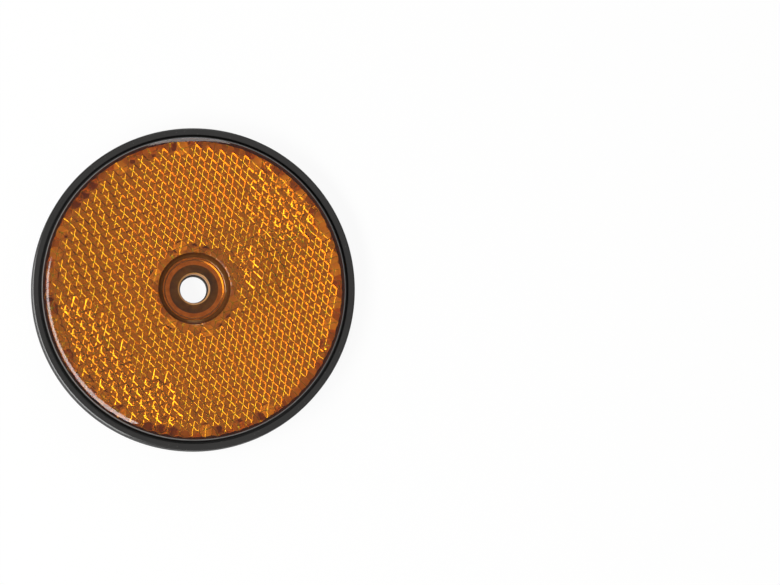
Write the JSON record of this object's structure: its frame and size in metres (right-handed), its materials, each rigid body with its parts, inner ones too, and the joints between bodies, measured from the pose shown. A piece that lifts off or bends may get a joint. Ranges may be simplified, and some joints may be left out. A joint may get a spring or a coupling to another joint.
{
  "type": "round reflector",
  "caption": "Round screw-on reflector: a flat amber lens with cube-corner prisms on its back and a dished screw hole, seated in a shallow black housing.",
  "frame": {"origin": "centre of the flat back face, on the axis of the screw hole", "axes": "+Z is the optical axis, out of the front of the lens; +X and +Y lie in the back face"},
  "size_m": [0.08, 0.08, 0.008],
  "materials": {
    "black_abs": "satin moulded black ABS",
    "amber_acrylic": "clear glossy amber acrylic, polished in the mould"
  },
  "bodies": {
    "root": {"housing": "black_abs", "lens": "amber_acrylic"}
  },
  "joints": []
}
